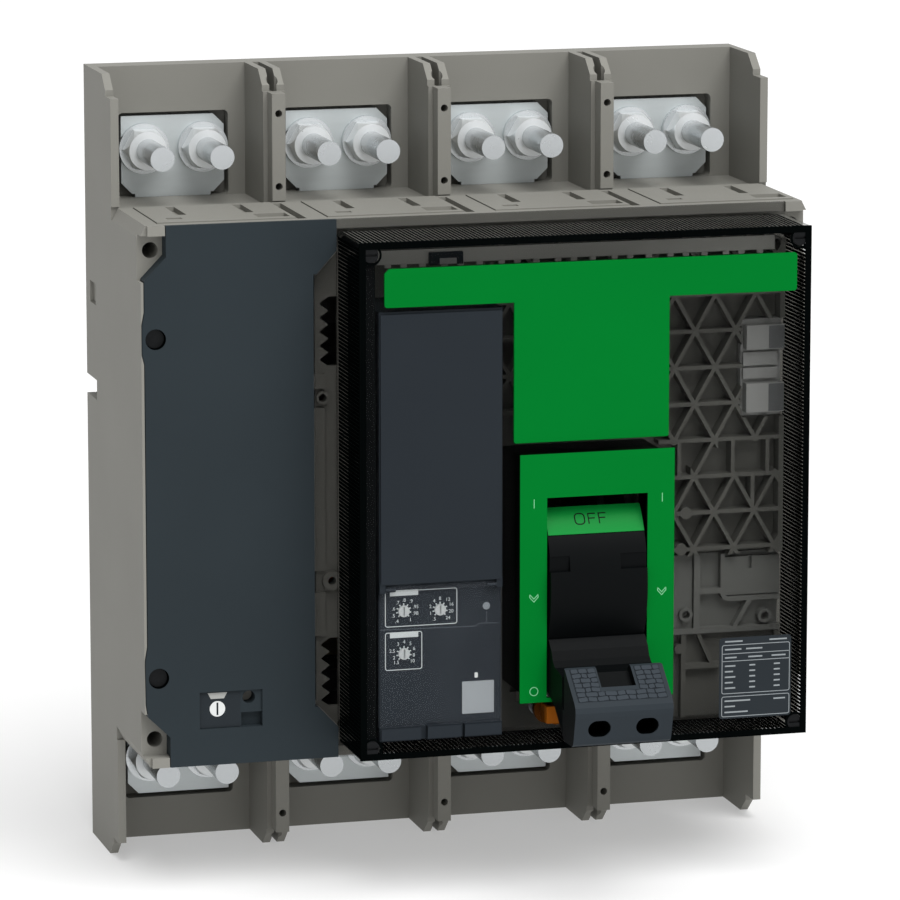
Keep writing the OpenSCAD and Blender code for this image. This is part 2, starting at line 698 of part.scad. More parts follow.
module lower_panel() {
    x = [panel_x, mech_x[1]];
    z = [panel_low, mech_z[0] - fit];
    base = panel_front - 3.5;
    rib = [base - 1, panel_front];
    boss = [x[0] + 13.3, z[1] - 24.8];
    ring = [x[0] + 47.4, z[1] - 27];
    color("gray") difference() {
        union() {
            slab(x, [face + 0.1, base], z);
            slab([x[0], x[0] + 16.5], [base - 1, panel_front - 1.5], z);
            slab([x[0] + 16.8, x[0] + 19.5], rib, z);
            slab([x[0] + 28.3, x[0] + 30.2], rib, [z[1] - 17, z[1]]);
            slab([x[0] + 32.2, x[1]], rib, [z[1] - 20.2, z[1] - 18.2]);
            plate(rib) intersection() {
                translate([x[0] + 32.2, z[1] - 16.3]) difference() {
                    circle(3.9);
                    circle(2);
                }
                translate([x[0] + 28.2, z[1] - 20.3]) square(4);
            }
            slab([x[0] + 30.2, x[1]], [base - 1, panel_front - 0.6], [z[1] - 17.7, z[1] - 1.7]);
            slab([x[0] + 19.5, x[0] + 28.7], rib, [z[1] - 16.6, z[1] - 14.4]);
            plate(rib) translate([x[0] + 41.1, z[1] - 19.7]) rotate(-120.6)
                translate([0, -0.9]) square([13, 1.8]);
            slab(x, rib, [z[0], z[0] + 2.3]);
            for (p = [boss, ring]) bore(p[0], p[1], [base - 1, panel_front + 0.6], 2.9);
        }
        slab([x[0] + 40.3, x[0] + 41.8], [panel_front - 2, panel_front + 1], [z[1] - 6.9, z[1] - 1]);
        for (p = [boss, ring]) bore(p[0], p[1], [base + 0.5, panel_front + 1], 1.7);
    }
}

module connector_blocks() {
    x = connector_x;
    z = connector_z;
    color("lightslategray") {
        slab(x, [face + 0.1, grid_top - 3], z);
        slab([x[0] + 1, x[1]], [grid_top - 4, grid_top + 2], [z[1] - 12, z[1] - 2]);
        slab([x[0] + 1, x[1]], [grid_top - 4, grid_top + 2], [z[0] + 2, z[0] + 14]);
        slab([x[0] + 0.5, x[1] - 2], [grid_top - 4, grid_top - 1], [z[0] + 15.5, z[0] + 20]);
        slab([x[0] + 0.5, x[1] - 2], [grid_top - 4, grid_top - 1], [z[0] + 21, z[0] + 26.5]);
    }
}

// Smoked front cover with its fascia

cover_screw_r = 1.7;
cover_post_r = 4.2;
cover_screw_spots = [for (x = [box_x[0] + 4.7, box_x[1] - 4.7], z = [box_z[0] + 4.7, box_z[1] - 4.7]) [x, z]];

module cover_windows() {
    slab([trip_x[0] - fit, trip_x[1] + fit], [face, cover_depth + 1], [trip_z[0] - fit, trip_z[1] + fit]);
    slab([bezel_x[0] - fit, bezel_x[1] + fit], [face, cover_depth + 1], [bezel_z[0] - fit, bezel_z[1] + fit]);
    slab([button_face_x[0] - fit, button_face_x[1] + fit], [face, cover_depth + 1],
         [button_face_z[0] - fit, bezel_z[0] + 1]);
}

module front_cover() {
    color([0.12, 0.12, 0.12, 0.45]) difference() {
        union() {
            difference() {
                union() {
                    slab(box_x, [rim + 0.1, cover_depth], box_z);
                    slab(flange_x, [rim + 0.1, case_depth], [-case_z, case_z]);
                }
                slab([box_x[0] + cover_t, box_x[1] - cover_t], [face, cover_depth - cover_t],
                     [box_z[0] + cover_t, box_z[1] - cover_t]);
            }
            for (p = cover_screw_spots) bore(p[0], p[1], [face + 0.1, cover_depth - 1], cover_post_r);
        }
        cover_windows();
        for (p = cover_screw_spots) {
            bore(p[0], p[1], [cover_depth - 3, cover_depth + 1], 3.3);
            bore(p[0], p[1], [face, cover_depth + 1], cover_screw_r + fit);
        }
    }
}

module cover_screws() {
    color("black") for (p = cover_screw_spots) difference() {
        union() {
            bore(p[0], p[1], [cover_depth - 2.9, cover_depth - 0.2], 3.1);
            bore(p[0], p[1], [face - face_wall + 0.2, cover_depth - 2.8], cover_screw_r);
        }
        slab([p[0] - 2.4, p[0] + 2.4], [cover_depth - 1, cover_depth + 1], [p[1] - 0.5, p[1] + 0.5]);
    }
}

module green_fascia() {
    low = fascia_top - fascia_band_h;
    color("green") plate([cover_depth, cover_depth + fascia_t]) {
        difference() {
            round_rect(fascia_x, [low, fascia_top], 1.2);
            translate([fascia_x[0], fascia_top]) rotate(45) square(2.7, center = true);
        }
        round_rect(block_x, [fascia_low, low + 3], 0.8);
    }
}

module toggle_bezel() {
    inset = 2.5;
    inside = inset + 1.8;
    color("green") difference() {
        union() {
            slab(bezel_x, [bezel_front - 0.9, bezel_front], bezel_z);
            slab([bezel_x[0] + inset, bezel_x[1] - inset], [mech_face + 2.1, bezel_front - 0.8],
                 [bezel_z[0] + inset, bezel_z[1] - inset]);
        }
        slab([bezel_x[0] + inside, bezel_x[1] - inside], [mech_face + 1, bezel_front - 2.2],
             [bezel_z[0] + inside, bezel_z[1] - inside]);
        slab(window_x, [mech_face, bezel_front + 1], window_z);
        rod(window_x, toggle_d, toggle_z, drum_r + flag_t + fit);
    }
}

// Trip unit with its settings

module trip_unit() {
    x = trip_x;
    z = trip_z;
    lug = 2.5;
    color("#2e3238") {
        difference() {
            union() {
                slab(x, [face + 0.1, cover_depth - 1], z);
                slab([x[0] + 0.5, x[1] - 0.5], [cover_depth - 2, cover_depth], [settings_z[1] + 0.4, z[1] - 1]);
                slab([x[0] + 0.5, x[1] - 0.5], [cover_depth - 2, cover_depth],
                     [z[0] + 0.6, settings_z[0] - 0.4]);
            }
            slab([x[0] - 1, x[1] + 1], [settings_face, cover_depth + 1], settings_z);
            for (p = dial_spots) bore(p[0], p[1], [settings_face - 2, cover_depth], dial_d / 2 + run);
            bore(alarm_spot[0], alarm_spot[1], [settings_face - 2, cover_depth], 1.5 + run);
            slab([x[0] + 17, x[0] + 19.8], [cover_depth - 2.6, cover_depth + 1], [z[0] - 1, settings_z[0]]);
            slab([x[0] + 33.9, x[0] + 35.3], [cover_depth - 2.6, cover_depth + 1], [z[0] - 1, settings_z[0]]);
        }
        for (u = [x[0], x[1] - lug]) slab([u, u + lug], [settings_face - 1, cover_depth - 0.4],
                                                 [flap_pivot_z - 1.2, settings_z[1] + 1]);
        for (u = [[x[0] + lug, x[0] + lug + 4], [x[1] - lug - 4, x[1] - lug]])
            rod(u, flap_mid, flap_pivot_z, flap_pin_r);
    }
}

module settings_cover() {
    x = [trip_x[0] + 2.8, trip_x[1] - 2.8];
    color([0.2, 0.21, 0.23, 0.5]) difference() {
        union() {
            slab([trip_x[0] + 0.3, trip_x[1] - 0.3], [flap_mid - flap_t / 2, flap_mid + flap_t / 2],
                 [settings_z[0] + 0.3, flap_pivot_z - 1.6]);
            slab(x, [flap_mid - flap_t / 2, flap_mid + flap_t / 2], [settings_z[0] + 3, flap_pivot_z]);
            rod(x, flap_mid, flap_pivot_z, flap_barrel_r - 0.1);
        }
        rod([x[0] - 1, x[1] + 1], flap_mid, flap_pivot_z, flap_pin_r + run);
        slab([trip_x[0] + 19, trip_x[0] + 24], [cover_depth - 3, cover_depth + 1],
             [settings_z[0] - 1, settings_z[0] + 1.5]);
    }
}

dial_spots = [for (p = [[10.5, 47.3], [25.6, 47.1], [10.6, 29.8]])
    [trip_x[0] + p[0], settings_z[0] + p[1]]];
alarm_spot = [trip_x[0] + 44.8, settings_z[0] + 47.6];

module dial(p) {
    color("white") difference() {
        bore(p[0], p[1], [settings_face - 1.9, settings_face + 0.9], dial_d / 2);
        slab([p[0] - 0.35, p[0] + 0.35], [settings_face, settings_face + 2], [p[1] - 1.8, p[1] + 1.8]);
    }
}

module alarm_lamp() {
    color("white") bore(alarm_spot[0], alarm_spot[1], [settings_face - 1.9, settings_face + 0.6], 1.5);
}

// Trip button, trip bar and trip actuator

module trip_button() {
    color("orange") {
        slab(button_face_x, [cover_depth - 6, cover_depth + 2.4], button_face_z);
        bore(button_x, button_z, [trip_bar_d + 3 + fit, trip_bar_d + 9], tip_r);
        bore(button_x, button_z, [trip_bar_d + 8, cover_depth - 5], stem_r);
        bore(button_x, button_z, [mech_face + 12, mech_face + 14], stem_r + 2.4);
    }
}

module button_spring() {
    turns = 5;
    low = mech_face + 2.3;
    color("silver") translate([button_x, -low, button_z]) rotate([90, 0, 0])
        linear_extrude(9.4 - button_travel, twist = -360 * turns, slices = 14 * turns, $fn = 6)
            translate([stem_r + 1.2, 0]) circle(0.6, $fn = 6);
}

module trip_bar() {
    reach = trip_bar_z - button_z + 3;
    lever_x = trip_x[1] - 17;
    color("dimgray") {
        rod([-half_w + wall + 4, half_w - wall - 4], trip_bar_d, trip_bar_z, trip_bar_r);
        slab([button_x - 4, button_x + 4], [trip_bar_d, trip_bar_d + 3], [trip_bar_z - reach, trip_bar_z]);
        slab([lever_x - 3, lever_x + 3], [trip_bar_d - 1.5, trip_bar_d + 1.5], [trip_bar_z, trip_bar_z + 14]);
    }
}

module trip_actuator() {
    x = [trip_x[1] - 26, trip_x[1] - 8];
    front = trip_bar_d - 5;
    color("slategray") {
        slab(x, [front - 24, front], [trip_bar_z + 6, trip_bar_z + 36]);
        slab(x, [front - 1, face - face_wall - 0.1], [trip_bar_z + 24, trip_bar_z + 36]);
        bore((x[0] + x[1]) / 2, trip_bar_z + 10, [front - 1, trip_bar_d - 1.8], 2);
    }
}

// Mechanism: side plates, toggle, links and pole shaft

module plate_side() {
    difference() {
        outline([[plate_back[0], shaft_z + plate_edge], plate_back, plate_low,
                 [face - face_wall - 1, toggle_z - drum_r + 13.5], [toggle_d + plate_edge, toggle_z - 20],
                 [toggle_d + plate_edge, toggle_z + 20], [face - face_wall - 1, toggle_z + drum_r - 2.5],
                 [shaft_depth + 14, shaft_z + plate_edge]]);
        translate([-toggle_d, toggle_z]) circle(pin_r + 0.02);
        translate([-shaft_depth, shaft_z]) circle(shaft_r + run);
    }
}

plate_edge = 9;
plate_back = [shaft_depth - plate_edge, shaft_z - plate_edge];
plate_low = [toggle_d - 30, toggle_z - 24];
spacers = [(plate_back + plate_low) / 2 + [0.5, 6.2], plate_low + [6, 3.5]];

module mechanism_plates() {
    low = toggle_z - drum_r - 1.5;
    high = toggle_z + drum_r + 1.5;
    color("lightsteelblue") {
        for (x = side_x) profile([x, x + side_t]) plate_side();
        for (x = [side_x[0] - 5, side_x[1]], z = [low, high - 8])
            slab([x, x + side_t + 5], [face + 0.1, face + 2], [z, z + 8]);
        for (x = side_x, z = [[low, toggle_z - 25], [toggle_z + 25, high]])
            slab([x, x + side_t], [face - 4, face + 2], z);
        for (p = spacers) rod([side_x[0] + 1, side_x[1] + 1], p[0], p[1], 2.5);
    }
}

module toggle_pin() {
    color("silver") rod([side_x[0] - pin_proud, side_x[1] + side_t + pin_proud], toggle_d, toggle_z, pin_r);
}

module sector(r, from, to) {
    steps = 8;
    far = r * 1.5;
    outline(concat([[0, 0]], [for (k = [0 : steps])
        let (a = from + (to - from) * k / steps) [far * cos(a), far * sin(a)]]));
}

drum_from = -105;
drum_to = 42;
flag_t = 0.45;

module drum_profile(r_in, from, to, r_out) {
    translate([-toggle_d, toggle_z]) intersection() {
        difference() {
            circle(r_out, $fn = 96);
            circle(r_in, $fn = 96);
        }
        sector(r_out, from, to);
    }
}

module toggle() {
    x = [toggle_x - drum_w / 2, toggle_x + drum_w / 2];
    cheek = 2.5;
    arm = [[24, -0.5], [38, 19.5], [44, 19.5], [48.2, 15.6], [50, 12], [53, 9.8], [58, 9.4], [63.3, 8.4],
           [63.3, -14.6], [53, -6.5], [44, -2.5]];
    color("#1c1d1f") difference() {
        union() {
            profile(x) drum_profile(drum_r - 3.5, drum_from, drum_to, drum_r);
            for (u = [x[0], x[1] - cheek])
                profile([u, u + cheek]) drum_profile(pin_r, drum_from, drum_to, drum_r);
            rod(x, toggle_d, toggle_z, pin_r + 2.4);
            profile(x) grip_place() outline(arm);
            profile([x[0] + grip_wall, x[1] - grip_wall]) grip_place() outline(arm_end);
            for (u = [x[0], x[1] - 8.4])
                rod([u, u + 8.4], toggle_crank[0], toggle_crank[1], link_pin_r);
        }
        rod([x[0] - 1, x[1] + 1], toggle_d, toggle_z, pin_r + run);
        for (u = [x[0] - 1, x[1] - 11.1])
            slab([u, u + (u < toggle_x ? 9.2 : 12.1)], [toggle_d + 45.2, toggle_d + drum_r + 1],
                 [toggle_z + 7.6, toggle_z + 13.8]);
        finger_holes();
        profile([x[0] + 3, x[1] - 3]) grip_place() outline([[50, -20], [50, 5], [61, 5], [61, -20]]);
    }
}

grip_wall = 1.6;
arm_end = [[60, 8.4], [64.4, 9.6], [79.3, -2.1], [75.9, -14.8], [60, -14.8]];

module grip_place() {
    translate([-toggle_d, toggle_z - 40]) children();
}

module finger_holes() {
    d = [toggle_d + 66, toggle_d + 90];
    z = toggle_z - 49.5;
    for (s = [-10, 10]) {
        for (u = [-1.2, 1.2]) bore(toggle_x + s + u, z, d, 3.5);
        slab([toggle_x + s - 1.2, toggle_x + s + 1.2], d, [z - 3.5, z + 3.5]);
    }
}

module toggle_grip() {
    x = [toggle_x - drum_w / 2 - 0.1, toggle_x + drum_w / 2 + 0.1];
    grip = [[63.4, 10.4], [65.4, 12.4], [67.2, 12.1], [80.6, 1.6], [82.2, -0.4], [82.6, -2.6], [82.3, -4.6],
            [79.7, -14.4], [79, -16], [77.4, -17], [67, -17.2], [64.2, -15], [64, 0]];
    bevel = 2.4;
    color("#3c4146") difference() {
        profile(x) grip_place() outline(grip);
        profile([x[0] + grip_wall + 0.1, x[1] - grip_wall - 0.1]) grip_place() outline(arm_end);
        finger_holes();
        slab([toggle_x - 7.4, toggle_x + 7], [toggle_d + 55, toggle_d + 75], [toggle_z - 38, toggle_z]);
        for (u = [[x[0], 1], [x[1], -1]]) translate([0, 0, toggle_z - 45]) linear_extrude(45)
            polygon([[u[0] - u[1], -toggle_d - 60], [u[0] - u[1], -toggle_d - 67],
                     [u[0] + u[1] * bevel, -toggle_d - 63.8], [u[0] + u[1] * bevel, -toggle_d - 60]]);
    }
}

module position_flags() {
    x = [toggle_x - drum_w / 2 + 0.1, toggle_x + drum_w / 2 - 0.1];
    color("mediumseagreen") {
        profile(x) drum_profile(drum_r + 0.02, 27.4, drum_to, drum_r + flag_t);
        profile(x) drum_profile(drum_r + 0.02, drum_from + 4, drum_from + 20, drum_r + flag_t);
    }
}

module drive_links() {
    span = [toggle_crank[0] - crank_pin[0], crank_pin[1] - toggle_crank[1]];
    color("steelblue") for (u = link_x) difference() {
        union() {
            rod([u, u + link_t], toggle_crank[0], toggle_crank[1], link_pin_r + 2);
            rod([u, u + link_t], crank_pin[0], crank_pin[1], link_pin_r + link_slack + 2);
            profile([u, u + link_t]) translate([-toggle_crank[0], toggle_crank[1]])
                rotate(atan2(span[1], span[0])) translate([0, -3]) square([norm(span), 6]);
        }
        rod([u - 1, u + link_t + 1], toggle_crank[0], toggle_crank[1], link_pin_r + run);
        rod([u - 1, u + link_t + 1], crank_pin[0], crank_pin[1], link_pin_r + link_slack);
    }
}

module pole_shaft() {
    color("dimgray") {
        rod([-half_w + wall + 4, half_w - wall - 4], shaft_depth, shaft_z, shaft_r);
        for (k = [0, 1]) {
            u = crank_x[k];
            profile([u, u + link_t]) translate([-shaft_depth, shaft_z]) rotate(crank_angle) {
                translate([0, -5]) square([crank_r, 10]);
                translate([crank_r, 0]) circle(5);
            }
            rod(k == 0 ? [u, u + 6.3] : [u - 3.3, u + link_t], crank_pin[0], crank_pin[1], link_pin_r);
        }
    }
}

module case_screws() {
    color("dimgray") {
        for (p = neutral_screws) bore(p[0], p[1], [face - 6, face + 3.1], 1.9);
        for (p = neutral_screws) bore(p[0], p[1], [face + 3.1, face + 5.4], 3.8);
    }
}

terminal_base();
main_case();
for (i = [1 : poles]) {
    arc_cover(i);
    upper_terminal(i);
    lower_terminal(i);
    arc_chute(i);
    moving_contact(i);
    flexible_link(i);
    current_sensor(i);
}
terminal_studs();
terminal_nuts();
terminal_washers();
neutral_cover();
neutral_selector();
mechanism_cover();
lower_panel();
connector_blocks();
front_cover();
green_fascia();
toggle_bezel();
trip_unit();
settings_cover();
dial(dial_spots[0]);  // dial_long_time
dial(dial_spots[1]);  // dial_delay
dial(dial_spots[2]);  // dial_instant
alarm_lamp();
trip_button();
button_spring();
trip_bar();
trip_actuator();
mechanism_plates();
toggle_pin();
toggle();
toggle_grip();
position_flags();
drive_links();
pole_shaft();
cover_screws();
case_screws();
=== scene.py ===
"""Looks of a four-pole moulded case circuit breaker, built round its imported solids."""
import math

import bpy
from mathutils import Matrix, Vector


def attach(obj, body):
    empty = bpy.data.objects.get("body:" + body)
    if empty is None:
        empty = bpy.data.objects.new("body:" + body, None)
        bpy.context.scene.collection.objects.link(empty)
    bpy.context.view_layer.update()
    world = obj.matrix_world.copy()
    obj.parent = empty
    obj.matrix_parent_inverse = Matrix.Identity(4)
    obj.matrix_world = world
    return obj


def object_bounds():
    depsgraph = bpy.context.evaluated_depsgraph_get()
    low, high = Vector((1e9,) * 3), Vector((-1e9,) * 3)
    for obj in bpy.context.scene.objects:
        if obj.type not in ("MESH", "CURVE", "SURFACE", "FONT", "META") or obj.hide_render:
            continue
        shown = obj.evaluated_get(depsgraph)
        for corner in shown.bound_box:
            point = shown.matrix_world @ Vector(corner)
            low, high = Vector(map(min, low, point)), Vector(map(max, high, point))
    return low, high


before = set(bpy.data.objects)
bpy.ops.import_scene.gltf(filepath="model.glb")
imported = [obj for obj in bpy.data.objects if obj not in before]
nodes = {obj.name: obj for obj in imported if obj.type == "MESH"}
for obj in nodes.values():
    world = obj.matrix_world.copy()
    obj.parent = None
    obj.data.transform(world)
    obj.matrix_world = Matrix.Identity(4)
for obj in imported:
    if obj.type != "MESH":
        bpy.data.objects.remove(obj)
cad_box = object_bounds()
MM = 0.001

# Places on the object, in millimetres: x to the right, d the depth in front of the back plane, z up
COVER_X = (-59.1, 129.1)
COVER_Z = (-104.2, 105.5)
COVER_FRONT = 142.0
COVER_WALL = 2.2
FLANGE_FRONT = 107.5
SETTINGS_FACE = 139.2
BEZEL_FRONT = 146.0
PIVOT = (102.0, -37.5)
DRUM_R = 47.95
TOGGLE_X = 38.3
NEUTRAL_FRONT = 107.5
RIB_FRONT = 118.0
POLES = 4


# Mesh helpers


def point(x, d, z):
    """A place in metres from its millimetres."""
    return Vector((x * MM, -d * MM, z * MM))


def new_piece(name, points, faces, look, body):
    """A mesh with one of the MATERIALS, which rides on a body."""
    mesh = bpy.data.meshes.new(name)
    mesh.from_pydata([tuple(p) for p in points], [], faces)
    mesh.validate()
    mesh.update()
    piece = bpy.data.objects.new(name, mesh)
    bpy.context.scene.collection.objects.link(piece)
    mesh.materials.append(MATERIALS[look])
    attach(piece, body)
    return piece


# Faces of a box: its corners go up first, then from front to back, and then to the right
BOX_FACES = [(0, 1, 3, 2), (4, 6, 7, 5), (0, 4, 5, 1), (2, 3, 7, 6), (0, 2, 6, 4), (1, 5, 7, 3)]


def box_piece(name, boxes, look, body, bevel=0.0):
    """Each box is ((x0, x1), (d0, d1), (z0, z1))."""
    points, faces = [], []
    for x, d, z in boxes:
        base = len(points)
        points += [point(a, b, c) for a in x for b in (d[1], d[0]) for c in z]
        faces += [tuple(base + i for i in f) for f in BOX_FACES]
    piece = new_piece(name, points, faces, look, body)
    if bevel:
        add_bevel(piece, bevel)


def add_bevel(piece, width):
    modifier = piece.modifiers.new("edge", "BEVEL")
    modifier.width = width * MM
    modifier.segments = 2
    modifier.limit_method = "ANGLE"


def ribbon(path, width, closed):
    """Left and right points of a flat line of one width along a path of (u, v) points."""
    sharpest = 0.3
    sides = []
    count = len(path)
    for i, p in enumerate(path):
        before = path[i - 1] if closed or i else None
        after = path[(i + 1) % count] if closed or i < count - 1 else None
        ways = []
        for a, b in ((before, p), (p, after)):
            if a is None or b is None:
                continue
            step = Vector((b[0] - a[0], b[1] - a[1]))
            ways.append(Vector((-step.y, step.x)).normalized())
        normal = sum(ways, Vector((0, 0))).normalized()
        reach = width / 2 / max(sharpest, normal.dot(ways[0]))
        sides.append(((p[0] + normal.x * reach, p[1] + normal.y * reach),
                      (p[0] - normal.x * reach, p[1] - normal.y * reach)))
    return sides


def line_piece(name, paths, width, place, look, body, height=0.12):
    """Raised lines. Each path is (points, closed), and place(u, v, h) is height h over the surface."""
    points, faces = [], []
    for path, closed in paths:
        sides = ribbon(path, width, closed)
        count = len(sides)
        base = len(points)
        for left, right in sides:
            for uv, h in ((left, 0), (right, 0), (right, height), (left, height)):
                points.append(place(uv[0], uv[1], h))
        for i in range(count if closed else count - 1):
            a, b = base + 4 * i, base + 4 * ((i + 1) % count)
            for k in range(4):
                faces.append((a + k, a + (k + 1) % 4, b + (k + 1) % 4, b + k))
        if not closed:
            last = base + 4 * (count - 1)
            faces.append((base + 3, base + 2, base + 1, base))
            faces.append((last, last + 1, last + 2, last + 3))
    new_piece(name, points, faces, look, body)


def plate_piece(name, outlines, place, look, body, height=0.2):
    """Flat plates from outlines of (u, v) points, each standing by height over the surface."""
    points, faces = [], []
    for outline in outlines:
        base, count = len(points), len(outline)
        points += [place(u, v, 0) for u, v in outline] + [place(u, v, height) for u, v in outline]
        faces.append(tuple(base + i for i in reversed(range(count))))
        faces.append(tuple(base + count + i for i in range(count)))
        for i in range(count):
            j = (i + 1) % count
            faces.append((base + i, base + j, base + count + j, base + count + i))
    new_piece(name, points, faces, look, body)


def front_at(depth):
    """Places on a front face at one depth, with u to the right and v up."""
    return lambda u, v, h: point(u, depth + h, v)


def on_drum(u, v, h):
    """Places on the drum: u across it, and v the way round it from the level of its pivot."""
    angle = v / DRUM_R
    r = DRUM_R + h
    return point(TOGGLE_X + u, PIVOT[0] + r * math.cos(angle), PIVOT[1] + r * math.sin(angle))


def arc(cu, cv, r, start, stop, steps):
    """Points of an arc round (cu, cv), with its ends in degrees."""
    turn = [math.radians(start + (stop - start) * i / steps) for i in range(steps + 1)]
    return [(cu + r * math.cos(a), cv + r * math.sin(a)) for a in turn]


def round_box(u, v, r):
    """Outline of a box with rounded corners."""
    steps = 5
    corners = [(u[1] - r, v[1] - r, 0), (u[0] + r, v[1] - r, 90),
               (u[0] + r, v[0] + r, 180), (u[1] - r, v[0] + r, 270)]
    return [p for cu, cv, a in corners for p in arc(cu, cv, r, a, a + 90, steps)]


def circle(cu, cv, r, steps=24):
    return arc(cu, cv, r, 0, 360, steps)[:-1]


# Materials


def start_material(name, color, roughness, metallic=0.0):
    material = bpy.data.materials.new(name)
    material.use_nodes = True
    shader = material.node_tree.nodes["Principled BSDF"]
    shader.inputs["Base Color"].default_value = (*color, 1)
    shader.inputs["Roughness"].default_value = roughness
    shader.inputs["Metallic"].default_value = metallic
    return material, shader


def linear(color):
    """Linear values of a colour that is given as 0 to 255."""
    return tuple(((c / 255 + 0.055) / 1.055) ** 2.4 if c > 10.3 else c / 255 / 12.92 for c in color)


def scaled(color, factor):
    return tuple(min(1, c * factor) for c in color)


def noise_at(material, scale, detail, stretch=(1, 1, 1)):
    """Noise in the piece's own coordinates."""
    tree = material.node_tree
    coords = tree.nodes.new("ShaderNodeTexCoord")
    mapping = tree.nodes.new("ShaderNodeMapping")
    mapping.inputs["Scale"].default_value = stretch
    noise = tree.nodes.new("ShaderNodeTexNoise")
    noise.inputs["Scale"].default_value = scale
    noise.inputs["Detail"].default_value = detail
    tree.links.new(coords.outputs["Object"], mapping.inputs["Vector"])
    tree.links.new(mapping.outputs["Vector"], noise.inputs["Vector"])
    return noise


def vary_color(material, shader, source, low, high):
    """The colour goes from low to high over the middle of the noise."""
    start, stop = 0.35, 0.65
    tree = material.node_tree
    ramp = tree.nodes.new("ShaderNodeValToRGB")
    ramp.color_ramp.elements[0].position = start
    ramp.color_ramp.elements[1].position = stop
    ramp.color_ramp.elements[0].color = (*low, 1)
    ramp.color_ramp.elements[1].color = (*high, 1)
    tree.links.new(source.outputs["Fac"], ramp.inputs["Fac"])
    tree.links.new(ramp.outputs["Color"], shader.inputs["Base Color"])


def vary_roughness(material, shader, source, low, high):
    """The roughness follows the noise from low to high."""
    tree = material.node_tree
    spread = tree.nodes.new("ShaderNodeMapRange")
    spread.inputs["To Min"].default_value = low
    spread.inputs["To Max"].default_value = high
    tree.links.new(source.outputs["Fac"], spread.inputs["Value"])
    tree.links.new(spread.outputs["Result"], shader.inputs["Roughness"])


def add_bump(material, shader, source, strength, distance):
    """The noise stands out of the surface by a distance in millimetres."""
    tree = material.node_tree
    bump = tree.nodes.new("ShaderNodeBump")
    bump.inputs["Strength"].default_value = strength
    bump.inputs["Distance"].default_value = distance * MM
    tree.links.new(source.outputs["Fac"], bump.inputs["Height"])
    tree.links.new(bump.outputs["Normal"], shader.inputs["Normal"])


def moulded(name, color, roughness=0.5, spread=0.06, grain=1800, depth=0.05, specular=0.18):
    """Moulded plastic: fine grain, and a faint drift of its colour over large areas."""
    base = linear(color)
    material, shader = start_material(name, base, roughness)
    shader.inputs["Specular IOR Level"].default_value = specular
    cloud = noise_at(material, 14, 4)
    vary_color(material, shader, cloud, scaled(base, 1 - spread), scaled(base, 1 + spread))
    fine = noise_at(material, grain, 2)
    vary_roughness(material, shader, fine, roughness - 0.08, roughness + 0.08)
    add_bump(material, shader, fine, 0.35, depth)
    return material


def paint_turned_shade(material, color, axis, start, stop):
    """Painted shade: faces take a darker colour as their own normal's size along one axis goes from start
    to stop.
    """
    tree = material.node_tree
    socket = tree.nodes["Principled BSDF"].inputs["Base Color"]
    source = socket.links[0].from_socket
    normal = tree.nodes.new("ShaderNodeSeparateXYZ")
    size = tree.nodes.new("ShaderNodeMath")
    size.operation = "ABSOLUTE"
    spread = tree.nodes.new("ShaderNodeMapRange")
    spread.inputs["From Min"].default_value = start
    spread.inputs["From Max"].default_value = stop
    mix = tree.nodes.new("ShaderNodeMix")
    mix.data_type = "RGBA"
    mix.inputs["B"].default_value = (*linear(color), 1)
    tree.links.new(tree.nodes.new("ShaderNodeTexCoord").outputs["Normal"], normal.inputs["Vector"])
    tree.links.new(normal.outputs[axis], size.inputs[0])
    tree.links.new(size.outputs["Value"], spread.inputs["Value"])
    tree.links.new(spread.outputs["Result"], mix.inputs["Factor"])
    tree.links.new(source, mix.inputs["A"])
    tree.links.new(mix.outputs["Result"], socket)


def metal(name, color, roughness, stretch, scale, spread=0.14, metallic=1.0, depth=0.02):
    """Drawn or rolled metal with fine lines along one way."""
    base = linear(color)
    material, shader = start_material(name, base, roughness, metallic)
    lines = noise_at(material, scale, 4, stretch)
    vary_color(material, shader, lines, scaled(base, 1 - spread), scaled(base, 1 + spread))
    vary_roughness(material, shader, lines, roughness - 0.1, roughness + 0.12)
    add_bump(material, shader, lines, 0.2, depth)
    return material


def smoked(name, color, alpha, roughness=0.12):
    """Clear smoked plastic: what lies behind shows through, darkened."""
    base = linear(color)
    material, shader = start_material(name, base, roughness)
    shader.inputs["Alpha"].default_value = alpha
    shader.inputs["IOR"].default_value = 1.5
    shader.inputs["Specular IOR Level"].default_value = 0.06
    haze = noise_at(material, 60, 3)
    vary_color(material, shader, haze, scaled(base, 0.85), scaled(base, 1.15))
    vary_roughness(material, shader, haze, roughness - 0.05, roughness + 0.06)
    return material


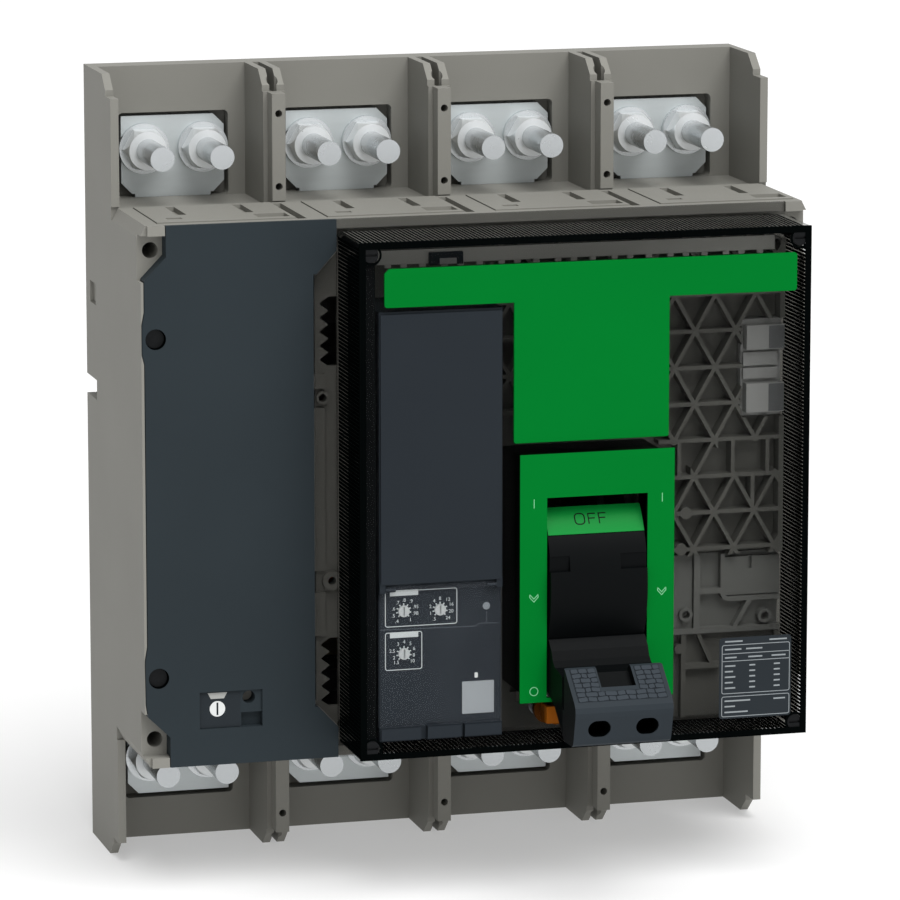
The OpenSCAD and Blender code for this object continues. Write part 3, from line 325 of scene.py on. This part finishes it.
MATERIALS = {
    "case": moulded("case_plastic", (130, 129, 123), 0.55, 0.03, specular=0.1),
    "base": moulded("base_plastic", (130, 129, 123), 0.55, 0.03, specular=0.1),
    "slate": moulded("slate_plastic", (43, 50, 54), 0.5, 0.05, specular=0.05),
    "trip": moulded("trip_plastic", (37, 42, 47), 0.42, 0.04, specular=0.05),
    # Lighter than the case grey: painted light against the shade under the cover's top.
    "rail": moulded("rail_painted_light", (190, 190, 183), 0.5, 0.05, specular=0.05),
    "dark": moulded("mechanism_plastic", (102, 102, 97), 0.55, 0.05, specular=0.05),
    "panel": moulded("panel_plastic", (120, 121, 117), 0.5, 0.04, specular=0.05),
    # Painted shade on the connectors' faces.
    "shade": moulded("painted_connector_shade", (108, 110, 110), 0.45, 0.04, specular=0.05),
    "connector": moulded("connector_plastic", (164, 165, 162), 0.45, 0.04, specular=0.08),
    "green": moulded("green_plastic", (0, 111, 38), 0.38, 0.02, depth=0.02, specular=0.02),
    "flag": moulded("flag_plastic", (10, 126, 50), 0.35, 0.02, depth=0.02, specular=0.05),
    "black": moulded("black_plastic", (8, 10, 11), 0.45, 0.05, specular=0.05),
    "grip": moulded("grip_rubber", (44, 50, 55), 0.62, 0.06, 2600, 0.08, specular=0.08),
    "white": moulded("white_plastic", (214, 217, 216), 0.4, 0.02, depth=0.02),
    "print": moulded("white_print", (190, 196, 196), 0.5, 0.03, depth=0.01),
    "orange": moulded("orange_plastic", (132, 72, 9), 0.4, 0.04, depth=0.02, specular=0.05),
    "bezel": moulded("bezel_plastic", (0, 111, 38), 0.38, 0.02, depth=0.02, specular=0.02),
    "dial": moulded("dial_plastic", (178, 182, 182), 0.4, 0.03, depth=0.02),
    "lamp": moulded("lamp_plastic", (122, 130, 135), 0.15, 0.05, depth=0.02, specular=0.6),
    "bare": moulded("bare_label", (150, 155, 158), 0.5, 0.02, depth=0.01),
    "faint": moulded("faint_print", (138, 144, 147), 0.5, 0.03, depth=0.01),
    # Black with no shine, painted shade: it darkens the cover's walls, edges and screw rings, and the
    # hollows of the screw wells and finger holes.
    "rim": moulded("rim_plastic", (4, 6, 6), 0.5, 0.1, specular=0.0),
    "mint": moulded("mint_print", (120, 195, 145), 0.5, 0.03, depth=0.01),
    # Lighter than the trip unit: painted highlight on the edges of its steps.
    "step_highlight": moulded("painted_step_highlight", (78, 84, 89), 0.4, 0.04, depth=0.02, specular=0.1),
    "label": moulded("label_plate", (40, 45, 49), 0.35, 0.03, depth=0.01, specular=0.05),
    "pebble": moulded("pebble_rubber", (52, 58, 64), 0.55, 0.08, 2600, 0.06, specular=0.08),
    "joint": moulded("joint_rubber", (30, 34, 38), 0.6, 0.08, 2600, 0.06, specular=0.05),
    # Painted shade for the gap beside the trip unit.
    "shade_strip": moulded("painted_strip_shade", (17, 20, 21), 0.6, 0.1, specular=0.03),
    "fibre": moulded("fibre_board", (64, 60, 56), 0.7, 0.1, 900, 0.1),
    "resin": moulded("cast_resin", (170, 150, 110), 0.5, 0.08, 600, 0.06),
    "tin": metal("tinned_copper", (198, 204, 205), 0.38, (1, 1, 4), 60, 0.03, 0.6, 0.01),
    "zinc": metal("zinc_steel", (206, 210, 212), 0.24, (1, 1, 1), 70, 0.02, 0.85, 0.006),
    "stud": metal("stud_steel", (190, 194, 196), 0.24, (1, 1, 1), 70, 0.02, 0.7, 0.003),
    "nut": metal("nut_steel", (226, 229, 230), 0.3, (1, 1, 1), 70, 0.02, 0.5, 0.006),
    "steel": metal("mechanism_steel", (150, 152, 156), 0.4, (12, 1, 1), 90),
    "oxide": metal("oxide_steel", (34, 35, 36), 0.5, (1, 1, 1), 500, 0.1),
    "copper": metal("drawn_copper", (196, 124, 84), 0.35, (1, 1, 10), 200),
    "smoke": smoked("smoked_cover", (5, 5, 5), 0.18),
    # Darker smoke for the sheet beside the neutral pole's cover, partly painted shade.
    "shade_sheet": smoked("smoked_shade_sheet", (5, 5, 5), 0.24),
    # Painted sheen: a grey smoked film standing for the light on the clear top wall.
    "haze": smoked("smoked_painted_sheen", (118, 118, 113), 0.4),
    "flap": smoked("smoked_flap", (80, 84, 90), 0.06, 0.2),
}

# Painted shade: the grip's side faces, turned across x, go near black.
paint_turned_shade(MATERIALS["grip"], (15, 17, 18), "X", 0.75, 0.95)
# Painted shade: the bezel's faces that do not face the front, such as its sides and window walls, go dark
# green.
paint_turned_shade(MATERIALS["bezel"], (10, 16, 12), "Y", 0.6, 0.3)

LOOKS = {
    "terminal_base": "base", "main_case": "case", "terminal_studs": "stud", "terminal_nuts": "nut",
    "terminal_washers": "zinc", "neutral_cover": "slate", "neutral_selector": "white",
    "mechanism_cover": "dark", "lower_panel": "panel", "connector_blocks": "connector",
    "front_cover": "smoke", "green_fascia": "green", "toggle_bezel": "bezel", "trip_unit": "trip",
    "settings_cover": "flap", "dial_long_time": "dial", "dial_delay": "dial", "dial_instant": "dial",
    "alarm_lamp": "lamp", "trip_button": "orange", "button_spring": "zinc", "trip_bar": "black",
    "trip_actuator": "steel", "mechanism_plates": "steel", "toggle_pin": "steel", "toggle": "black",
    "toggle_grip": "grip", "position_flags": "flag", "drive_links": "steel", "pole_shaft": "black",
    "cover_screws": "oxide", "case_screws": "oxide",
}
POLE_LOOKS = {
    "arc_cover": "case", "upper_terminal": "tin", "lower_terminal": "tin", "arc_chute": "fibre",
    "moving_contact": "copper", "flexible_link": "copper", "current_sensor": "resin",
}
for pole in range(1, POLES + 1):
    LOOKS.update({f"{kind}_{pole}": look for kind, look in POLE_LOOKS.items()})


def dress_nodes():
    """Each node of the record gets its material."""
    for node, look in LOOKS.items():
        mesh = nodes[node].data
        mesh.materials.clear()
        mesh.materials.append(MATERIALS[look])


# Smoked cover: painted shade as black lines on its walls, a black front edge and rings round the screws


def cover_flutes():
    """Black lines on the outer faces of the walls, as painted shade where the clear ribbed walls look dark,
    and a grey haze over the top wall as painted sheen.
    """
    thin = 0.14
    across, up = 1.8, 1.55
    depth = (FLANGE_FRONT + 0.5, COVER_FRONT - 1.3)
    x, z = COVER_X, COVER_Z
    boxes = []
    for i in range(int((x[1] - x[0] - 1) / across)):
        start = x[0] + 0.6 + i * across
        boxes += [((start, start + 0.95), depth, (z[1], z[1] + thin)),
                  ((start, start + 1.4), depth, (z[0] - thin, z[0]))]
    for i in range(int((z[1] - z[0] - 1) / up)):
        line = (z[0] + 0.5 + i * up, z[0] + 1.62 + i * up)
        boxes += [((x[0] - thin, x[0]), depth, line), ((x[1], x[1] + thin), depth, line)]
    box_piece("cover_flutes", boxes, "rim", "case")
    # Painted sheen: a grey film over the top wall for the light that the clear plastic catches from above.
    haze = ((x[0] + 0.5, x[1] - 0.5), depth, (z[1], z[1] + 0.05))
    box_piece("cover_painted_sheen", [haze], "haze", "case")


def cover_shade_sheet():
    """Smoked sheet in the gap beside the neutral pole's cover: partly a flange of the cover, partly painted
    shade that darkens the strip behind it.
    """
    outline = [(-59.5, -97.6), (-67.9, -88.6), (-69.0, -88.6), (-69.0, 88.3), (-67.9, 88.3), (-59.5, 97.6)]
    back = 106.8
    plate_piece("cover_shade_sheet", [outline], front_at(back), "shade_sheet", "case", 0.5)


def trip_gap_shade():
    """Painted shade: a dark strip along the cover's inner wall, in the shaded gap beside the trip unit."""
    wall = ((-56.7, -52.2), (FLANGE_FRONT + 6, COVER_FRONT - COVER_WALL - 0.1), (-97.0, 97.0))
    box_piece("trip_gap_shade", [wall], "shade_strip", "case", 0.2)


def cover_edge():
    """Painted shade: a black frame round the cover's front, which turns over its edge, where the clear
    cover looks dark seen through its edges.
    """
    thin = 0.12
    wide = 2.5
    back = 1.4
    x, z = COVER_X, COVER_Z
    front = (COVER_FRONT, COVER_FRONT + thin)
    side = (COVER_FRONT - back, COVER_FRONT + thin)
    boxes = [(x, front, (z[0], z[0] + wide)), (x, front, (z[1] - wide, z[1])),
             ((x[0], x[0] + wide), front, (z[0] + wide, z[1] - wide)),
             ((x[1] - wide, x[1]), front, (z[0] + wide, z[1] - wide)),
             ((x[0] - thin, x[1] + thin), side, (z[0] - thin, z[0])),
             ((x[0] - thin, x[1] + thin), side, (z[1], z[1] + thin)),
             ((x[0] - thin, x[0]), side, z), ((x[1], x[1] + thin), side, z)]
    box_piece("cover_edge", boxes, "rim", "case")


def screw_rings():
    """Painted shade: black rings round the four screws of the cover."""
    inset = 4.7
    rings = [(circle(x, z, 3.85, 32), True) for x in (COVER_X[0] + inset, COVER_X[1] - inset)
             for z in (COVER_Z[0] + inset, COVER_Z[1] - inset)]
    line_piece("screw_rings", rings, 0.9, front_at(COVER_FRONT), "rim", "case", 0.14)


def top_rail():
    """Flat rail along the top of the mechanism cover, with teeth under it and a slate catch."""
    low, high = 93.0, 98.7
    teeth, pitch = 21, 7.9
    boxes = [((-46.0, 121.5), (RIB_FRONT, RIB_FRONT + 0.8), (low, high))]
    for i in range(teeth):
        x = -44.0 + i * pitch + (1.3 if i % 3 == 0 else 0)
        boxes.append(((x, x + 2.6), (RIB_FRONT - 1, RIB_FRONT + 0.5), (low - 1.4, low)))
    # The rail's colour is lighter than the case grey: painted light against the shade under the cover's
    # top.
    box_piece("top_rail", boxes, "rail", "case", 0.15)
    box_piece("top_catch", [((-24.7, -10.7), (RIB_FRONT + 0.8, RIB_FRONT + 3), (92.6, 97.6))],
              "slate", "case", 0.3)
    box_piece("top_catch_face", [((-20.6, -13.6), (RIB_FRONT + 3, RIB_FRONT + 3.3), (92.8, 95.2))],
              "connector", "case", 0.1)


def connector_shades():
    """Painted shade: darker right ends of the two connectors' faces."""
    shades = [round_box((119.0, 125.6), z, 0.2) for z in ((52.3, 61.7), (26.3, 37.7))]
    plate_piece("connector_shades", shades, front_at(RIB_FRONT + 2), "shade", "case", 0.1)


# Marks on the toggle's frame and drum


def bezel_marks():
    """Two I marks, two double chevrons and one O on the green frame."""
    left, right = 11.75, 65.55
    strokes = [([(x, -3.7), (x, -0.1)], False) for x in (left, right)]
    for x in (left, right):
        tip = [(x - 1.75, -39.0), (x, -40.9), (x + 1.75, -39.0)]
        tail = [(x - 1.75, -39.0), (x - 1.75, -40.2), (x, -42.1), (x + 1.75, -40.2), (x + 1.75, -39.0)]
        strokes += [(tip, False), (tail, False)]
    strokes.append((circle(left + 0.1, -79.0, 1.7), True))
    line_piece("bezel_marks", strokes, 0.3, front_at(BEZEL_FRONT), "mint", "case", 0.08)


def flag_letters():
    """The off mark on the flag of the drum, drawn in plain strokes."""
    tall = 4.7
    mid = math.radians(35.0) * DRUM_R
    low = mid - tall / 2
    high = mid + tall / 2
    strokes = [(round_box((-8.1, -4.1), (low, high), 1.5), True)]
    for u in (-2.4, 2.0):
        strokes.append(([(u, low), (u, high)], False))
        strokes.append(([(u, high - 0.22), (u + 3.1, high - 0.22)], False))
        strokes.append(([(u, mid + 0.1), (u + 2.7, mid + 0.1)], False))
    line_piece("flag_letters", strokes, 0.45, on_drum, "black", "toggle", 0.08)


# Trip unit: dial marks, frames round the dials and bare label places


# For each dial its middle, and its numbers with their offsets from that middle
DIALS = {
    "long_time": ((-40.6, -44.2), (
        (".4", -2.8, -4.1), (".5", -4.3, -1.8), (".6", -4.2, 1.1), (".7", -2.5, 3.5), (".8", 0.2, 4.4),
        (".9", 3.1, 3.9), (".95", 5.0, 1.5), (".98", 4.9, -1.2), ("1", 2.8, -3.7))),
    "delay": ((-25.5, -44.4), (
        (".5", -2.4, -3.8), ("1", -3.9, -1.4), ("2", -4.0, 1.4), ("4", -2.4, 3.6), ("8", 0, 4.5),
        ("12", 3.3, 3.9), ("16", 4.7, 1.9), ("20", 4.6, -0.9), ("24", 3.3, -3.6))),
    "instant": ((-40.5, -61.7), (
        ("1.5", -3.2, -3.5), ("2", -4.1, -1.5), ("2.5", -4.9, 1.3), ("3", -2.4, 4.0), ("4", 0.1, 4.8),
        ("5", 2.7, 4.0), ("6", 4.2, 1.9), ("8", 4.1, -0.8), ("10", 3.5, -3.2))),
}


def dial_marks(name, middle, numbers):
    """Ticks and plain numbers round one dial."""
    x, z = middle
    ticks = []
    for i in range(len(numbers)):
        a = math.radians(225 - 33.75 * i)
        ticks.append(([(x + r * math.cos(a), z + r * math.sin(a)) for r in (2.35, 3.15)], False))
    line_piece(f"{name}_ticks", ticks, 0.5, front_at(SETTINGS_FACE), "print", "case")
    for i, (number, u, v) in enumerate(numbers):
        digits(f"{name}_number_{i}", number, x + u, z + v)


def digits(name, text, x, z):
    """A number as a thin solid on the trip unit's face."""
    half = 0.05
    curve = bpy.data.curves.new(name, "FONT")
    curve.body = text
    curve.size = 2.0 * MM
    curve.align_x = "CENTER"
    curve.align_y = "CENTER"
    curve.extrude = half * MM
    holder = bpy.data.objects.new(name + "_curve", curve)
    bpy.context.scene.collection.objects.link(holder)
    bpy.context.view_layer.update()
    mesh = bpy.data.meshes.new_from_object(holder)
    bpy.data.objects.remove(holder)
    upright = Matrix.Rotation(math.pi / 2, 4, "X")
    mesh.transform(Matrix.Translation(point(x, SETTINGS_FACE + half, z)) @ upright)
    mesh.materials.clear()
    mesh.materials.append(MATERIALS["print"])
    piece = bpy.data.objects.new(name, mesh)
    bpy.context.scene.collection.objects.link(piece)
    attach(piece, "case")


def dial_frames():
    """Printed frames round the dials, their bare bars, and the bare square of the label."""
    frames = [(round_box((-48.2, -18.5), (-50.4, -35.9), 0.9), True),
              (round_box((-48.2, -33.1), (-68.2, -52.9), 0.9), True)]
    line_piece("dial_frames", frames, 0.32, front_at(SETTINGS_FACE), "print", "case")
    bars = [round_box((-46.3, -34.6), (z - 1.15, z + 1.15), 0.15) for z in (-36.7, -53.9)]
    plate_piece("dial_bars", bars, front_at(SETTINGS_FACE), "print", "case", 0.15)
    square = [round_box((-16.3, -3.0), (-88.0, -74.7), 0.2)]
    plate_piece("label_square", square, front_at(SETTINGS_FACE), "bare", "case", 0.2)


def settings_step_highlights():
    """Fine steps in the trip unit's face, drawn as lighter lines that are painted highlights on their
    edges, and the sealing point over its label.
    """
    step_highlight = [(-50.4, -51.5), (-38, -51.7), (-10.2, -52.1), (-9.5, -51.0), (-1.2, -51.3)]
    side = [(-6.0, -46.4), (-6.0, -50.9)]
    steps = [(step_highlight, False), (side, False)]
    face = front_at(SETTINGS_FACE)
    line_piece("settings_step_highlights", steps, 0.3, face, "step_highlight", "case", 0.1)
    plate_piece("sealing_point", [round_box((-11.1, -9.8), (-73.3, -71.2), 0.3)], face, "white",
                "case", 0.3)


def rating_place():
    """Plate of the ratings, with frames and bare bars in place of its words."""
    x, z = (91.6, 122.4), (-96.4, -62.6)
    plate_piece("rating_plate", [round_box(x, z, 1.4)], front_at(COVER_FRONT), "label", "case",
                0.2)
    frames = [(round_box((92.8, 121.7), (-85.9, -65.7), 0.8), True),
              (round_box((92.8, 121.7), (-95.5, -87.2), 0.8), True)]
    frames += [([(92.8, v), (121.7, v)], False) for v in (-69.3, -72.4)]
    line_piece("rating_frames", frames, 0.28, front_at(COVER_FRONT + 0.2), "faint", "case",
               0.08)
    rows = [(-64.2, ((94, 101.5), (113, 120.5))), (-67.5, ((94, 101), (103, 110))),
            (-70.9, ((94, 99), (104, 110), (114, 120)))]
    rows += [(-74.4 - 2.3 * i, ((94, 98.5 - i % 2), (104.5, 107), (115, 117.6))) for i in range(5)]
    rows += [(-89.0, ((94, 105), (115, 120))), (-91.3, ((94, 98.5),)), (-93.7, ((94, 104),))]
    bars = [[(a, v - 0.3), (b, v - 0.3), (b, v + 0.3), (a, v + 0.3)] for v, spans in rows for a, b in spans]
    plate_piece("rating_bars", bars, front_at(COVER_FRONT + 0.2), "faint", "case", 0.08)


# Neutral cover's selector window


def neutral_window():
    """Dark floor of the selector's window, with a bare pale field over the selector."""
    floor = NEUTRAL_FRONT - 1.2
    plate_piece("selector_panel", [round_box((-117.2, -100.4), (-95.3, -80.4), 0.4)], front_at(floor),
                "label", "case", 0.12)
    place = [(-113.9, -80.8), (-105.8, -80.8), (-107.1, -83.3), (-112.6, -83.3)]
    plate_piece("selector_label", [place], front_at(floor + 0.12), "connector", "case",
                0.1)


def screw_wells():
    """Painted shade: dark walls in the two screw recesses at the left of the neutral cover."""
    x, r, back, deep = -134.1, 4.12, 103.2, 4.0
    wells = [(circle(x, z, r, 32), True) for z in (-73.4, 65.0)]
    line_piece("screw_wells", wells, 0.1, front_at(back), "rim", "case", deep)


# Toggle grip: raised pebbles on its slope, and painted shade in its finger holes


def slope_spot():
    """Places on the sloped top of the grip, with v down the slope from its back edge."""
    back = Vector((PIVOT[0] + 67.2, PIVOT[1] - 40 + 12.1))
    front = Vector((PIVOT[0] + 80.6, PIVOT[1] - 40 + 1.6))
    along = (front - back).normalized()
    normal = Vector((-along.y, along.x))
    return lambda u, v, h: point(u, back.x + along.x * v + normal.x * h,
                                 back.y + along.y * v + normal.y * h)


def grip_pads():
    """Raised stones in staggered rows round the notch, on darker ground."""
    place = slope_spot()
    rows, notch_rows, pitch, step, gap = 7, 5, 2.42, 3.9, 0.1
    edges = (TOGGLE_X - 18.5, TOGGLE_X + 18.5)
    notch = (TOGGLE_X - 8.1, TOGGLE_X + 8.1)
    points, faces = [], []
    for row in range(rows):
        spans = [edges] if row >= notch_rows else [(edges[0], notch[0]), (notch[1], edges[1])]
        for left, right in spans:
            count = max(2, round((right - left) / step))
            cuts = [left + (right - left) * i / count for i in range(count + 1)]
            for i in range(1, count):
                cuts[i] += 0.55 * math.sin(2.7 * i + 4.1 * row + left)
            for i in range(count):
                add_pad(points, faces, place, (cuts[i], cuts[i + 1]), row * pitch + 0.15, pitch, gap,
                        0.2 * math.sin(3 * i + 5 * row))
    new_piece("grip_pads", points, faces, "pebble", "toggle")
    start, below, end = 0.1, notch_rows * pitch, rows * pitch + 0.1
    low = TOGGLE_X - 18.6
    high = TOGGLE_X + 18.6
    wings = [[(low, start), (notch[0], start), (notch[0], end), (low, end)],
             [(notch[1], start), (high, start), (high, end), (notch[1], end)],
             [(notch[0], below), (notch[1], below), (notch[1], end), (notch[0], end)]]
    plate_piece("grip_joints", wings, place, "joint", "toggle", 0.06)


def add_pad(points, faces, place, u, v, tall, gap, tilt):
    """One raised stone with sloped sides between u and from v upwards."""
    base = len(points)
    cut = 0.4
    for h, inset in ((0.0, gap), (0.38, gap + 0.1)):
        a, b, c, d = u[0] + inset, u[1] - inset, v + inset, v + tall - inset
        ring = [(a + cut, c - tilt), (b - cut, c + tilt), (b, c + cut), (b, d - cut), (b - cut, d + tilt),
                (a + cut, d - tilt), (a, d - cut), (a, c + cut)]
        points += [place(x, y, h) for x, y in ring]
    faces.append(tuple(base + 15 - k for k in range(8)))
    faces.append(tuple(base + k for k in range(8)))
    for k in range(8):
        n = (k + 1) % 8
        faces.append((base + k, base + 8 + k, base + 8 + n, base + n))


def capsule(cu, cv, half, r):
    """Outline of a slot with round ends."""
    steps = 10
    return arc(cu + half, cv, r, -90, 90, steps) + arc(cu - half, cv, r, 90, 270, steps)


def finger_liners():
    """Painted shade: black walls and floors in the two finger holes."""
    mid = PIVOT[1] - 49.5
    back = PIVOT[0] + 66.1
    half, deep = 1.2, 13.6
    sides = (TOGGLE_X - 10, TOGGLE_X + 10)
    walls = [(capsule(x, mid, half, 3.42), True) for x in sides]
    line_piece("finger_liners", walls, 0.1, front_at(back), "rim", "toggle", deep)
    floors = [capsule(x, mid, half, 3.3) for x in sides]
    plate_piece("finger_floors", floors, front_at(back), "rim", "toggle", 0.2)


# Floor, light and camera


def studio():
    """Pale floor under the object, one soft sun and the room."""
    floor_mesh = bpy.data.meshes.new("floor")
    low = cad_box[0][2]
    reach = 8.0
    corners = [(-reach, -reach, low), (reach, -reach, low), (reach, reach, low), (-reach, reach, low)]
    floor_mesh.from_pydata(corners, [], [(0, 1, 2, 3)])
    floor = bpy.data.objects.new("floor", floor_mesh)
    bpy.context.scene.collection.objects.link(floor)
    pale, shader = start_material("floor_pale", (0.55, 0.55, 0.55), 0.95)
    shader.inputs["Specular IOR Level"].default_value = 0.0
    shader.inputs["Emission Color"].default_value = (1, 1, 1, 1)
    shader.inputs["Emission Strength"].default_value = 0.36
    floor_mesh.materials.append(pale)
    soft_world()
    light = bpy.data.lights.new("sun", "SUN")
    light.energy = 3.4
    light.angle = math.radians(50)
    lamp = bpy.data.objects.new("sun", light)
    lamp.rotation_euler = Vector((-0.12, 0.43, -0.84)).to_track_quat("-Z", "Y").to_euler()
    bpy.context.scene.collection.objects.link(lamp)


def soft_world():
    """Grey room, brighter before and behind the object than beside it."""
    world = bpy.data.worlds.new("studio")
    bpy.context.scene.world = world
    world.use_nodes = True
    tree = world.node_tree
    sides = tree.nodes.new("ShaderNodeSeparateXYZ")
    size = tree.nodes.new("ShaderNodeMath")
    size.operation = "ABSOLUTE"
    spread = tree.nodes.new("ShaderNodeMapRange")
    spread.inputs["To Min"].default_value = 0.02
    spread.inputs["To Max"].default_value = 0.9
    tree.links.new(tree.nodes.new("ShaderNodeTexCoord").outputs["Generated"], sides.inputs["Vector"])
    tree.links.new(sides.outputs["Y"], size.inputs[0])
    tree.links.new(size.outputs["Value"], spread.inputs["Value"])
    tree.links.new(spread.outputs["Result"], tree.nodes["Background"].inputs["Strength"])
    tree.nodes["Background"].inputs["Color"].default_value = (1, 1, 1, 1)


def camera():
    """The photo's camera, as fitted to corners of the object."""
    yaw, pitch = math.radians(15.392), math.radians(10.606)
    look = Vector((math.sin(yaw) * math.cos(pitch), math.cos(yaw) * math.cos(pitch), -math.sin(pitch)))
    data = bpy.data.cameras.new("camera")
    data.sensor_width = 36
    data.lens = 223.0
    data.clip_end = 20
    holder = bpy.data.objects.new("camera", data)
    holder.location = (-0.60231, -2.24957, 0.43037)
    holder.rotation_euler = look.to_track_quat("-Z", "Y").to_euler()
    bpy.context.scene.collection.objects.link(holder)
    bpy.context.scene.camera = holder


dress_nodes()
cover_flutes()
cover_shade_sheet()
trip_gap_shade()
cover_edge()
screw_rings()
top_rail()
connector_shades()
bezel_marks()
flag_letters()
for dial, (dial_middle, dial_numbers) in DIALS.items():
    dial_marks(dial, dial_middle, dial_numbers)
dial_frames()
settings_step_highlights()
rating_place()
neutral_window()
screw_wells()
grip_pads()
finger_liners()
studio()
camera()
bpy.context.scene.view_settings.view_transform = "Standard"
